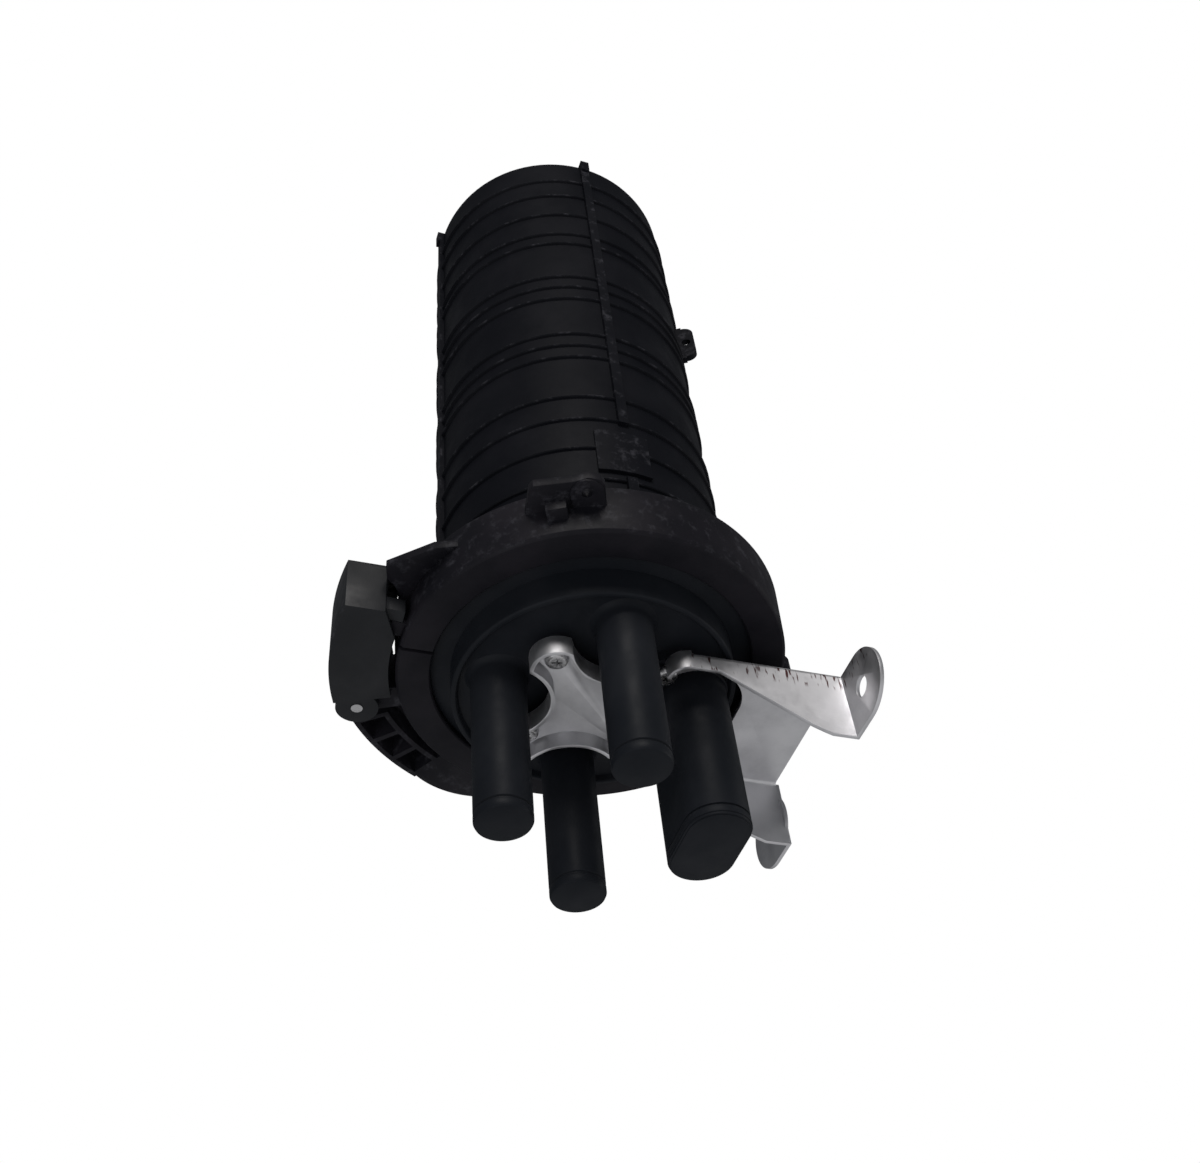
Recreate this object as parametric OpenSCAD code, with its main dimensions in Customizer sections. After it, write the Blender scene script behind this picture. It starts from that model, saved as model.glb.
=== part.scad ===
// Dome splice closure: a ribbed dome clamped to a base with three round
// tubes and one oval tube, on a folded wall bracket. The dome's axis is
// upright; the origin lies on the wall, midway between the bracket's two
// holes, and +Y points into the wall.

/* [Dome] */
// Outer radius of the dome's wall
dome_r = 78.5; // [60:0.5:120]
// Height of the dome's top above the hoop's lower face
dome_top = 410; // [250:5:600]
// Thickness of the dome's wall
dome_wall = 3.2; // [2:0.1:5]
// Height of the ribs and fins over the dome's wall
rib_h = 1.6; // [0.8:0.1:4]
// Width of one rib ring
rib_w = 2.6; // [1:0.1:5]
// Width of the four upright fins
fin_w = 5.6; // [3:0.1:12]
// Turn of the fins about the dome's axis
fin_turn = 1.8; // [-10:0.1:10]

/* [Clamp hoop] */
// Width of the clamped flanges of dome and base
flange_w = 16; // [10:0.5:30]
// Thickness of the hoop's wall outside the flanges
hoop_wall = 5.5; // [3:0.5:10]
// Depth of the hoop along the dome's axis
hoop_h = 31; // [24:0.5:45]
// Gap between the dome's wall and the hoop's side walls
hoop_gap = 4; // [2:0.5:8]
// Gap between the hoop's halves
seam_gap = 2; // [1:0.1:5]
// Distance of the hinge pin outside the hoop
hinge_out = 8; // [7:0.5:15]
// Diameter of the hinge pin and of the latch pin
pin_d = 6; // [4:0.5:10]

/* [Latch] */
// Gap between the hoop and the lever
lever_gap = 3.5; // [3:0.5:8]
// Depth of the lever, out from the hoop
lever_w = 29.5; // [24:0.5:40]
// Radius of the lever's rounded end about its pivot
lever_nose = 11; // [9:0.5:16]
// Direction of the lever's pivot, from +X
pivot_az = 247; // [235:1:255]
// Depth of the lever along the dome's axis
lever_h = 32; // [24:0.5:45]
// Wall thickness of the lever
lever_wall = 3.4; // [2:0.1:5]
// Reach of the lever past the seam
lever_end = 24; // [15:0.5:40]

/* [Base and tubes] */
// Step in from the dome's wall to the base's raised rim
rim_step = 6.1; // [4:0.1:15]
// Drop of the rim below the hoop's lower face
rim_drop = 13; // [6:0.5:30]
// Distance of the tubes' axes in from the rim
tube_inset = 22.4; // [18:0.2:40]
// Outer radius of the round tubes
tube_r = 14; // [8:0.25:22]
// Half length of the oval tube
oval_a = 27.5; // [18:0.25:40]
// Half width of the oval tube
oval_b = 16.5; // [10:0.25:24]
// Depth of the tubes' ends below the hoop's lower face
tube_end = 100; // [60:1:160]
// Wall thickness of the tubes
tube_wall = 2.4; // [1.6:0.1:4]

/* [Wall bracket] */
// Distance from the hinge pin's axis to the wall
wall_gap = 10; // [8:1:60]
// Depth of the wall holes below the hoop's lower face
ear_drop = 38; // [25:1:70]
// Distance of the wall holes outside the flanges
ear_out = 15; // [11:0.5:40]
// Radius of the wall holes
ear_hole_r = 5.5; // [3:0.25:8]
// Radius of the rounded ears
ear_r = 19.5; // [12:0.5:30]
// Thickness of the sheet
sheet = 2; // [1:0.1:4]
// Outer half width across the two flanges
flange_x = 45; // [35:0.5:70]
// Depth of the web's lower face below the hoop's lower face
web_drop = 18; // [14:0.5:30]
// Height of the folded lip
lip_h = 9; // [4:0.5:15]
// Room between a round tube and the web's cut-out
bite_gap = 11.5; // [6:0.5:20]
// Offset of the bracket's screws in from the tubes' axes, in X and in Y
screw_in = 22; // [14:0.5:30]

/* [Trays] */
// Room for fibre between a tray's edge and the dome's wall
tray_side = 19.3; // [17:0.1:35]
// Room between the trays and the dome's top
tray_head = 36; // [30:1:80]
// Thickness of a splice tray
tray_t = 8; // [5:0.5:12]
// Distance from one tray to the next
tray_pitch = 10; // [7:0.5:15]
// Height of the trays' lower edge above the hoop's lower face
tray_z = 112; // [80:1:160]
// Diameter of the trays' hinge pins
tray_pin_d = 3; // [2:0.5:6]

/* [Fits] */
// Radial clearance of a turning pin
run_clear = 0.05; // [0.01:0.01:0.1]
// Clearance between sliding or seated plastic pieces
seat_clear = 0.4; // [0.3:0.05:0.8]

/* [Hidden] */
$fn = 96;
eps = 0.01;
lever_turn = 105;             // how far the lever swings open
flange_r = dome_r + flange_w;
hoop_r = flange_r + hoop_wall;
hoop_in_r = dome_r + hoop_gap;
hinge_r = hoop_r + hinge_out;
lever_in_r = hoop_r + lever_gap;
lever_r = lever_in_r + lever_w;
pivot_r = lever_r - lever_nose;
pivot = [pivot_r * cos(pivot_az), pivot_r * sin(pivot_az)];
rim_r = dome_r - rim_step;
tube_pcd_r = rim_r - tube_inset;
tube_azs = [0, 180, 270];
wall_reach = hinge_r + wall_gap;
ear_spacing = 2 * (flange_x + ear_out);
bite_r = tube_r + bite_gap;
screw_off = tube_pcd_r - screw_in;
screw_boss_r = 13.5;          // rounded corner of the web round a screw
screw_head_r = 6;             // bracket screw's head
web_y = screw_off + 8;        // line on which the two flanges start
rib_foot = 46;                // height at which the dome's plain wall starts
rib_marks = [4.8, 11.8, 18.7, 24.2, 34.6, 37.8, 41, 51.3, 54.8, 58, 68.8, 72, 78.7, 85.6, 91.1];  // percent
hook_gap = 0.9;               // play of the lever's hook on the tooth
plate_gap = 3;                // from the hoop to the lever's back plate
seat_gap = 0.02;              // between the catch and the hoop's wall it stands on
tooth_r = lever_end - pivot.x - 9.2;  // from the pivot to the tooth's caught face
catch_y = -hoop_r - 1.4;      // outer edge of the hook, clear of the hoop
seg_a0 = 211;                 // cored segment's first direction
seg_a1 = 236;                 // and its last
seg_z = 14;                   // depth of its front face
arm_r = 7;                    // half width of the arm that carries the lever
arm_z = lever_wall + 0.6;     // the arm's lower face, between the lever's two plates
arm_h = lever_h - 2 * lever_wall - 1.2;
tail_r = 50;                  // curve of the segment's tail
lower_z = 4;                  // lower face of the base's flange at its root
split_z = 15;                 // plane between the base's and the dome's flanges
slope = 0.38;                 // slope of the flanges' clamped faces
flange_t = 7;                 // thickness of the dome's flange at its rim
groove_r = flange_r + 0.8;    // bottom of the hoop's groove
lug_az = -25.5;               // direction of the seal lug
plate_z = 5.5;                // depth of the base plate's inner face
plate_t = 4;
boss_r = 8;
tray_y = -3;                  // middle plane of the innermost tray
frame_y = -11;                // middle plane of the upright plate
frame_screw_ys = [frame_y + 6, 12];
tray_n = 4;
comb_n = 12;
tray_w = 2 * (dome_r - dome_wall - tray_side);
tray_l = dome_top - tray_z - tray_head;
frame_top = dome_top - 20;
frame_x = tray_w / 2 - 6;     // half width of the upright plate
basket_screw_zs = [95, frame_top - 25];
clamp_r = rim_r - 20.4;       // circle of the clamps for the strength members
web_top = web_drop - sheet;

// Carries a piece from the dome's axis to the wall frame.
module placed() {
    translate([0, -wall_reach, ear_drop]) children();
}

// Ring with a rectangular section.
module ring(r_in, r_out, z0, z1) {
    translate([0, 0, z0]) difference() {
        cylinder(r = r_out, h = z1 - z0);
        translate([0, 0, -1]) cylinder(r = r_in, h = z1 - z0 + 2);
    }
}

// Sector of a ring between two directions.
module sector(r_in, r_out, z0, z1, a0, a1) {
    translate([0, 0, z0]) rotate([0, 0, a0]) rotate_extrude(angle = a1 - a0)
        translate([r_in, 0]) square([r_out - r_in, z1 - z0]);
}

// Box with rounded upright edges, centred in X and Y.
module slab(x, y, z, r) {
    linear_extrude(z) rounded(x, y, r);
}

module rounded(x, y, r) {
    square([x - 2 * r, y], center = true);
    square([x, y - 2 * r], center = true);
    for (i = [-1, 1], j = [-1, 1])
        translate([i * (x / 2 - r), j * (y / 2 - r)]) circle(r = r, $fn = 48);
}

// Outline of the oval tube, grown by g.
module oval(g) {
    square([2 * (oval_a - oval_b), 2 * (oval_b + g)], center = true);
    for (i = [-1, 1]) translate([i * (oval_a - oval_b), 0]) circle(r = oval_b + g);
}

/* ---------------------------------------------------------------- dome */

module dome_profile() {
    r = dome_r;
    w = dome_wall;
    c = 10;
    n = 8;
    foot = split_z + (flange_r - hoop_in_r) * slope + flange_t;
    polygon(concat(
        [[r - w, split_z], [flange_r, split_z], [flange_r, foot - (flange_r - hoop_in_r) * slope],
         [r + 3, foot], [r, foot + 3], [r, dome_top - c]],
        [for (i = [1 : n]) [r - c + c * cos(i * 90 / n), dome_top - c + c * sin(i * 90 / n)]],
        [[0, dome_top + 2], [0, dome_top + 2 - w]],
        [for (i = [n : -1 : 0])
            [r - c + (c - w) * cos(i * 90 / n), dome_top - c + (c - w) * sin(i * 90 / n)]]));
}

// Half-round rib ring on the dome's wall.
module rib_profile(z) {
    r = dome_r - eps;
    polygon([[r - 1, z - rib_w / 2], [r, z - rib_w / 2], [r + rib_h * 0.7, z - rib_w / 3],
             [r + rib_h, z - rib_w / 8], [r + rib_h, z + rib_w / 8],
             [r + rib_h * 0.7, z + rib_w / 3], [r, z + rib_w / 2], [r - 1, z + rib_w / 2]]);
}

module fin(z0, z1) {
    translate([dome_r - 2, -fin_w / 2, z0]) cube([2 + rib_h + 0.9, fin_w, z1 - z0]);
}

// Eye for a tie: a small plate with a hole that stands out of the dome's wall.
module tie_eye(az, z) {
    rotate([0, 0, az]) translate([dome_r - 1, 2, z]) rotate([90, 0, 0]) difference() {
        union() {
            translate([0, -17, 0]) cube([5, 34, 4]);
            translate([0, -9, 0]) cube([7.5, 18, 4]);
            translate([5.5, 9, 0]) cylinder(r = 6.5, h = 4);
            translate([5.5, -9, 0]) cylinder(r = 6.5, h = 4);
            translate([5, -9, 0]) cube([7, 18, 4]);
        }
        translate([6.5, 0, -1]) cylinder(r = 3, h = 6);
    }
}

module dome() color([0.05, 0.05, 0.055]) placed() {
    difference() {
        union() {
            rotate_extrude() dome_profile();
            for (m = rib_marks) rotate_extrude() rib_profile(rib_foot + (dome_top - rib_foot) * m / 100);
            rotate([0, 0, fin_turn]) {
                fin(rib_foot + 66, dome_top - 7);
                fin(rib_foot, rib_foot + 20);
                for (a = [90, 180, 270]) rotate([0, 0, a]) fin(rib_foot, dome_top - 7);
                for (a = [0 : 90 : 270]) rotate([0, 0, a])
                    translate([dome_r - 8, -fin_w / 2, dome_top - 16]) cube([12, fin_w, 11]);
            }
            sector(dome_r - 1, dome_r + rib_h + 0.5, rib_foot + 24, rib_foot + 57, -10.5, 10.5);
            tie_eye(62, dome_top - 139);
        }
        translate([0, 0, split_z - 1]) cylinder(r = dome_r - dome_wall, h = dome_top - split_z - 9);
    }
}

/* ---------------------------------------------------------------- base */

module base_profile() {
    d = -rim_drop;
    polygon([[0, -plate_z - plate_t], [rim_r - 4, -plate_z - plate_t], [rim_r - 3.2, d + 0.8],
             [rim_r - 2.4, d], [rim_r - 0.8, d], [rim_r, d + 0.8], [rim_r, lower_z],
             [hoop_in_r - 1, lower_z], [flange_r, lower_z + (flange_r - hoop_in_r + 1) * slope],
             [flange_r, split_z - 0.2], [dome_r - dome_wall - seat_clear, split_z - 0.2],
             [dome_r - dome_wall - seat_clear, split_z + 15], [dome_r - dome_wall - 1.4, split_z + 17],
             [rim_r - 3.4, split_z + 17], [rim_r - 3.4, -plate_z], [0, -plate_z]]);
}

// Round closed tube with a root collar and a cut groove near its end.
module tube_profile() {
    e = -tube_end;
    polygon([[0, e], [tube_r - 1.8, e], [tube_r - 0.6, e + 0.6], [tube_r, e + 1.8],
             [tube_r, e + 5], [tube_r - 0.8, e + 5.4], [tube_r - 0.8, e + 6.2], [tube_r, e + 6.6],
             [tube_r, -plate_z - plate_t - 4], [tube_r + 0.7, -plate_z - plate_t - 1.8],
             [tube_r + 2.6, -plate_z - plate_t], [tube_r + 2.6, -plate_z - 1], [0, -plate_z - 1]]);
}

module oval_layer(z0, z1, g) {
    translate([0, 0, z0]) linear_extrude(z1 - z0) oval(g);
}

module base() color([0.055, 0.055, 0.06]) placed() {
    e = -tube_end;
    root = -plate_z - plate_t;
    difference() {
        union() {
            rotate_extrude() base_profile();
            for (a = tube_azs) rotate([0, 0, a]) translate([tube_pcd_r, 0, 0])
                rotate_extrude() tube_profile();
            translate([0, tube_pcd_r, 0]) {
                oval_layer(e, e + 0.6, -1.4);
                oval_layer(e + 0.6 - eps, e + 1.8, -0.5);
                oval_layer(e + 1.8 - eps, e + 5.2, 0);
                oval_layer(e + 5.2 - eps, e + 6.4 + eps, -0.8);
                oval_layer(e + 6.4, root + eps, 0);
                oval_layer(root - 2, root + eps, 1.2);
            }
            for (i = [-1, 1], j = [-1, 1]) translate([i * screw_off, j * screw_off, -web_top])
                cylinder(r = boss_r, h = web_top - plate_z - 1);
            for (i = [-1, 1], y = frame_screw_ys) translate([i * 22, y, -plate_z - eps])
                cylinder(r = 5, h = 2);
        }
        for (a = tube_azs) rotate([0, 0, a]) translate([tube_pcd_r, 0, e + 3])
            cylinder(r = tube_r - tube_wall, h = tube_end);
        translate([0, tube_pcd_r, 0]) oval_layer(e + 3, 0, -tube_wall);
        for (i = [-1, 1], j = [-1, 1]) translate([i * screw_off, j * screw_off, -web_top - 1])
            cylinder(r = 2.5, h = 8.5, $fn = 32);
        for (i = [-1, 1], y = frame_screw_ys) translate([i * 22, y, -plate_z - plate_t + 1.5])
            cylinder(r = 2, h = 8, $fn = 32);
        ring(hoop_in_r + 1.5, hoop_in_r + 6.5, split_z - 4.2, split_z + 1);
    }
}

module seal_ring() color([0.16, 0.16, 0.17]) placed()
    rotate_extrude() translate([hoop_in_r + 4, split_z - 2.1]) circle(r = 2.1, $fn = 32);

/* ---------------------------------------------------------------- hoop */

module hoop_profile() {
    z1 = lower_z - 0.3;
    rise = (flange_r - hoop_in_r) * slope;
    top = split_z + rise + flange_t + 0.3;
    polygon([[hoop_in_r, 0.8], [hoop_in_r + 0.8, 0], [hoop_r - 1.6, 0], [hoop_r, 1.6],
             [hoop_r + 1, hoop_h - 1.2], [hoop_r - 0.2, hoop_h], [hoop_in_r + 1.5, hoop_h],
             [hoop_in_r + 1.5, top - 1.5 * slope], [groove_r, top - (groove_r - hoop_in_r) * slope],
             [groove_r, z1 + (groove_r - hoop_in_r + 1) * slope], [hoop_in_r, z1 + slope]]);
}

// Half of the hoop on one side of the seam; s is 1 for +X and -1 for -X.
module hoop_half(s) {
    intersection() {
        rotate_extrude() hoop_profile();
        translate([s > 0 ? seam_gap / 2 : -200 - seam_gap / 2, -200, -1]) cube([200, 400, hoop_h + 2]);
    }
}

// Knuckle of the hoop's hinge with the arm that joins it to the half.
module knuckle(s, z0, z1) {
    translate([0, 0, z0]) {
        translate([0, hinge_r, 0]) cylinder(r = pin_d / 2 + 4.2, h = z1 - z0);
        translate([s > 0 ? seam_gap / 2 : -7 - seam_gap / 2, hoop_r - 4, 0])
            cube([7, hinge_r - hoop_r + 4, z1 - z0]);
    }
}

module pin_hole(x, y, r) {
    translate([x, y, -5]) cylinder(r = r, h = 60);
}

// Places a piece on the hoop's outer wall at the direction of the seal lug.
module lug_frame() {
    rotate([0, 0, lug_az]) translate([hoop_r, 0, 0]) children();
}

// Lug for the wire seal: a plate with a raised round end and a block in front.
module seal_lug() {
    lug_frame() {
        translate([0, 0, 18]) linear_extrude(5)
            polygon([[-4, -16], [0.4, -15.3], [13.9, -11.1], [16.1, -8.9], [14.7, 10.4], [15.7, 17.5],
                     [13.1, 22.9], [9.1, 24.4], [-4, 23]]);
        translate([7.2, 15.3, 17]) cylinder(r = 8, h = 6);
        translate([-4, 7.3, 17]) cube([11.2, 16, 6]);
        translate([-2, -5, 10]) cube([9, 10, 8 + eps]);
    }
}

module hoop_upper() color([0.06, 0.06, 0.065]) placed() {
    difference() {
        union() {
            hoop_half(1);
            knuckle(1, 0, 9.6);
            knuckle(1, 21.4, hoop_h);
            seal_lug();
        }
        translate([0, 0, -1]) cylinder(r = hoop_in_r, h = hoop_h + 2);
        intersection() {
            rotate_extrude() hoop_cavity();
            translate([-1, -200, -1]) cube([201, 400, 60]);
        }
        pin_hole(0, hinge_r, pin_d / 2 + 0.02);
        translate([0, hinge_r, 9.6]) cylinder(r = pin_d / 2 + 5, h = 11.8);
        lug_frame() translate([7.2, 15.3, 15]) cylinder(r = 2.5, h = 10, $fn = 48);
    }
}

// Catch on the half's outer wall: the tooth that the lever's hook takes, and the plate over it.
module hoop_catch() color([0.06, 0.06, 0.065]) placed() {
    difference() {
        union() {
            translate([0, -hoop_r, 18]) linear_extrude(5)
                polygon([[4, 3], [4, -3], [19, -4], [25, -8], [28, -12], [36, -14], [53, 6], [58, 20]]);
            intersection() {
                translate([4.5, -hoop_r - 6.5, lever_wall + 0.6]) cube([14, 9, 8]);
                translate([pivot.x, pivot.y, 0]) cylinder(r = tooth_r, h = 20, $fn = 192);
            }
        }
        rotate_extrude() polygon([[50, -1], [hoop_r + seat_gap, -1], [hoop_r + seat_gap, 1.6],
                                  [hoop_r + 1 + seat_gap, hoop_h - 1.2], [50, hoop_h]]);
    }
}

// Groove that takes the clamped flanges, used to trim what is added to a half.
module hoop_cavity() {
    z1 = lower_z - 0.3;
    rise = (flange_r - hoop_in_r) * slope;
    top = split_z + rise + flange_t + 0.3;
    polygon([[60, z1 + slope], [hoop_in_r, z1 + slope], [groove_r, z1 + (groove_r - hoop_in_r + 1) * slope],
             [groove_r, top - (groove_r - hoop_in_r) * slope], [hoop_in_r + 1.5, top - 1.5 * slope],
             [60, top - 1.5 * slope]]);
}

// Plan of the cored segment's tail, which runs out into the hoop.
module tail_plan() {
    intersection() {
        rotate(seg_a0 - 6) translate([lever_r - tail_r, 0]) circle(r = tail_r);
        difference() {
            circle(r = lever_r, $fn = 192);
            circle(r = hoop_r - 3, $fn = 192);
        }
        rotate(seg_a0 - 50) square([200, 200]);
        rotate(seg_a0 - 90 + 1) square([200, 200]);
    }
}

module hoop_lower() color([0.06, 0.06, 0.065]) placed() {
    difference() {
        union() {
            hoop_half(-1);
            knuckle(-1, 10.2, 20.8);
            sector(hoop_r - 3, lever_r, hoop_h - 5, hoop_h, seg_a0, seg_a1);
            sector(hoop_r + 13, lever_r, seg_z, hoop_h - eps, seg_a0, seg_a1);
            translate([0, 0, seg_z]) linear_extrude(hoop_h - eps - seg_z) tail_plan();
            translate([pivot.x, pivot.y, arm_z]) cylinder(r = arm_r, h = arm_h);
            translate([0, 0, arm_z]) linear_extrude(arm_h) rotate(pivot_az) translate([hoop_r - 2, -arm_r])
                square([pivot_r - hoop_r + 2, 2 * arm_r]);
            sector(hoop_r - 3, pivot_r - lever_nose - 1, 20, hoop_h - eps, seg_a1 - 2, pivot_az - 2);
        }
        translate([0, 0, -1]) cylinder(r = hoop_in_r, h = hoop_h + 2);
        intersection() {
            rotate_extrude() hoop_cavity();
            translate([-200, -200, -1]) cube([201, 400, 60]);
        }
        for (i = [0 : 2]) sector(hoop_r + 16, lever_r - 3, seg_z - 1, hoop_h - 3, seg_a0 + 1.3 + i * 7.9,
                                 seg_a0 + 7.9 + i * 7.9);
        pin_hole(0, hinge_r, pin_d / 2 + run_clear);
        for (z = [-1, 20.8]) translate([0, hinge_r, z]) cylinder(r = pin_d / 2 + 5, h = 11.2);
        pin_hole(pivot.x, pivot.y, pin_d / 2 + 0.02);
    }
}

module hoop_hinge_pin() color([0.6, 0.61, 0.62]) placed() translate([0, hinge_r, -0.6]) {
    cylinder(r = pin_d / 2, h = hoop_h + 1.2);
    cylinder(r = pin_d / 2 + 1, h = 0.6);
    translate([0, 0, hoop_h + 0.6]) cylinder(r = pin_d / 2 + 1, h = 0.6);
}

// Plan of the lever outside a radius, drawn in by g.
module lever_plan(r_in, g) {
    intersection() {
        difference() {
            circle(r = lever_r - g, $fn = 192);
            circle(r = r_in, $fn = 192);
        }
        rotate(pivot_az + 2.5) square([200, 200]);
        translate([-100, -200]) square([100 + lever_end - g, 120]);
    }
    translate(pivot) circle(r = lever_nose - g);
}

// Plan of the slot in the lever's front plate, over the catch.
module catch_slot() {
    translate([5, 0.5 - lever_in_r]) rotate(-24) square([40, 12]);
}

// Plan of the room that the arm sweeps inside the lever's nose.
module arm_sweep() {
    translate(pivot) intersection() {
        rotate(pivot_az + 180) translate([-60, -arm_r - 0.6]) square(120);
        rotate(pivot_az + 180 + lever_turn) translate([-60, arm_r + 0.6 - 120]) square(120);
        circle(r = 2 * lever_nose);
    }
}

// Hook of the lever: an arc about the pivot that catches the hoop's tooth.
module lever_hook() {
    intersection() {
        translate([pivot.x, pivot.y, lever_wall - eps]) difference() {
            cylinder(r = tooth_r + 8, h = 8.2, $fn = 192);
            translate([0, 0, -1]) cylinder(r = tooth_r + hook_gap, h = 11, $fn = 192);
        }
        translate([pivot.x, pivot.y, 0]) rotate([0, 0, -8]) cube([100, 22, 20]);
        translate([0, catch_y - 98.6, 0]) cube([lever_end - eps, 98.6, 20]);
    }
}

module latch_lever() color([0.065, 0.065, 0.07]) placed() {
    difference() {
        union() {
            difference() {
                union() {
                    linear_extrude(lever_h) lever_plan(lever_in_r, 0);
                    translate([0, 0, lever_h - lever_wall + eps]) linear_extrude(lever_wall - eps)
                        lever_plan(hoop_r + plate_gap, 0);
                }
                translate([0, 0, lever_wall]) linear_extrude(lever_h - 2 * lever_wall) {
                    lever_plan(lever_in_r - 1, lever_wall);
                    arm_sweep();
                }
                translate([0, 0, -1]) linear_extrude(lever_h - lever_wall + 1) catch_slot();
            }
            lever_hook();
        }
        pin_hole(pivot.x, pivot.y, pin_d / 2 + run_clear);
    }
}

module latch_pin() color([0.6, 0.61, 0.62]) placed() translate([pivot.x, pivot.y, -0.4]) {
    cylinder(r = pin_d / 2, h = lever_h + 0.8);
}

/* ------------------------------------------------------------- bracket */

// Plan of the bracket's web, drawn in by g.
module web_plan(g) {
    difference() {
        union() {
            square(2 * (screw_off + 2 - g), center = true);
            for (i = [-1, 1]) {
                translate([i * screw_off, -screw_off]) circle(r = screw_boss_r - g);
                translate([i * (flange_x - 10), web_y]) circle(r = 10 - g);
            }
            translate([-flange_x + g, web_y]) square([2 * (flange_x - g), wall_reach - web_y - sheet / 2]);
            translate([-flange_x + 10, web_y - 10 + g]) square([2 * (flange_x - 10), 20]);
        }
        for (a = tube_azs) rotate(a) translate([tube_pcd_r, 0]) circle(r = bite_r + g);
    }
}

// Section across one flange and the web's edge, with its bend.
module fold_section() {
    r = 2 * sheet;
    difference() {
        union() {
            translate([flange_x - 12, -web_drop]) square([12 - r, sheet]);
            translate([flange_x - sheet, -90]) square([sheet, 90 - web_top - r]);
            intersection() {
                translate([flange_x - r, -web_top - r]) circle(r = r, $fn = 48);
                translate([flange_x - r, -web_top - r]) square(r);
            }
        }
        translate([flange_x - r, -web_top - r]) circle(r = r - sheet, $fn = 48);
    }
}

// Side of the room left for the flange: its lower edge drops towards the wall.
module flange_side() {
    low = -ear_drop - ear_r;
    polygon([[web_y, 10], [web_y, -web_drop - lip_h], [web_y + 14, -web_drop - lip_h],
             [wall_reach - 28, low + 6.5], [wall_reach - 24, low + 4.1], [wall_reach - 19, low + 1.9],
             [wall_reach - 14, low], [wall_reach - sheet, low], [wall_reach - sheet, 10]]);
}

module wall_bracket() color([0.72, 0.72, 0.73]) placed() {
    difference() {
        union() {
            translate([0, 0, -web_drop]) linear_extrude(sheet) intersection() {
                web_plan(0);
                union() {
                    translate([-100, -100]) square([200, 100 + web_y]);
                    translate([-flange_x + 8, web_y - 6])
                        square([2 * (flange_x - 8), wall_reach - web_y + 6 - sheet]);
                }
            }
            translate([0, 0, -web_drop - lip_h]) linear_extrude(lip_h + eps) difference() {
                web_plan(0);
                web_plan(sheet);
                translate([-100, web_y + 1]) square([200, 200]);
                for (i = [-1, 1], j = [-1, 1]) translate([i * screw_off, j * screw_off])
                    circle(r = screw_head_r + seat_clear);
            }
            for (s = [0, 1]) mirror([s, 0, 0]) {
                intersection() {
                    translate([0, wall_reach, 0]) rotate([90, 0, 0]) linear_extrude(wall_reach - web_y)
                        fold_section();
                    rotate([90, 0, 90]) linear_extrude(flange_x + 1) flange_side();
                }
                translate([0, wall_reach, 0]) rotate([90, 0, 0]) linear_extrude(sheet) intersection() {
                    union() {
                        translate([ear_spacing / 2, -ear_drop]) circle(r = ear_r);
                        translate([flange_x - sheet, -ear_drop - ear_r])
                            square([ear_spacing / 2 - flange_x + sheet, 2 * ear_r]);
                    }
                }
            }
        }
        translate([0, tube_pcd_r, -web_drop - 1]) linear_extrude(sheet + 2) oval(7.5);
        for (i = [-1, 1], j = [-1, 1]) translate([i * screw_off, j * screw_off, -web_drop - 1])
            cylinder(r = 2.8, h = sheet + 2, $fn = 48);
        for (i = [-1, 1]) translate([i * ear_spacing / 2, wall_reach + 1, -ear_drop]) rotate([90, 0, 0])
            cylinder(r = ear_hole_r, h = sheet + 2);
    }
}

// Pan-head screw that points to +Z; its head's seat is at the origin.
module pan_screw(shank_r, head_r, head_h, len) {
    cylinder(r = shank_r, h = len, $fn = 32);
    rotate_extrude($fn = 48) polygon([[0, -head_h], [head_r * 0.55, -head_h], [head_r * 0.88, -head_h * 0.72],
                                      [head_r, -head_h * 0.25], [head_r, 0], [0, 0]]);
}

module bracket_screws() color([0.68, 0.68, 0.69]) placed()
    for (i = [-1, 1], j = [-1, 1]) translate([i * screw_off, j * screw_off, -web_drop])
        pan_screw(2.48, screw_head_r, 3.4, 9);

/* -------------------------------------------------------------- inside */

module tray_frame() color([0.7, 0.71, 0.72]) placed() {
    foot = -plate_z + 2;
    difference() {
        union() {
            translate([0, 0, foot]) slab(60, 36, 2, 4);
            translate([0, frame_y + 1, 0]) rotate([90, 0, 0]) linear_extrude(2) difference() {
                polygon([[-29, foot], [29, foot], [29, 50], [frame_x, 72], [frame_x, frame_top - 6],
                         [frame_x - 6, frame_top], [6 - frame_x, frame_top], [-frame_x, frame_top - 6],
                         [-frame_x, 72], [-29, 50]]);
                for (k = [-1 : 1]) translate([0, frame_top / 2 + 25 + k * 70]) rounded(56, 44, 6);
            }
        }
        for (i = [-1, 1], y = frame_screw_ys) translate([i * 22, y, foot - 1]) cylinder(r = 2.3, h = 4);
        for (z = basket_screw_zs, i = [-1, 1]) translate([i * 30, frame_y + 3, z]) rotate([90, 0, 0])
            cylinder(r = 1.7, h = 6, $fn = 32);
    }
}

module frame_screws() color([0.68, 0.68, 0.69]) placed()
    for (i = [-1, 1], y = frame_screw_ys) translate([i * 22, y, -plate_z + 4]) mirror([0, 0, 1])
        pan_screw(1.98, 4, 2.6, plate_t + 2);

module storage_basket() color([0.82, 0.83, 0.8]) placed() difference() {
    w = 2 * frame_x - 16;
    l = frame_top - 84;
    translate([0, frame_y - 4, 75 + l / 2]) rotate([90, 0, 0]) slab(w, l, 40, 8);
    translate([0, frame_y - 6, 75 + l / 2]) rotate([90, 0, 0]) slab(w - 4, l - 4, 40, 6);
    for (i = [-1, 1]) translate([i * (w / 2 - 2), -45, 95]) cube([8, 24, 60], center = true);
    for (z = basket_screw_zs, i = [-1, 1]) translate([i * 30, -14, z]) rotate([90, 0, 0])
        cylinder(r = 1.7, h = 6, $fn = 32);
}

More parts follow.
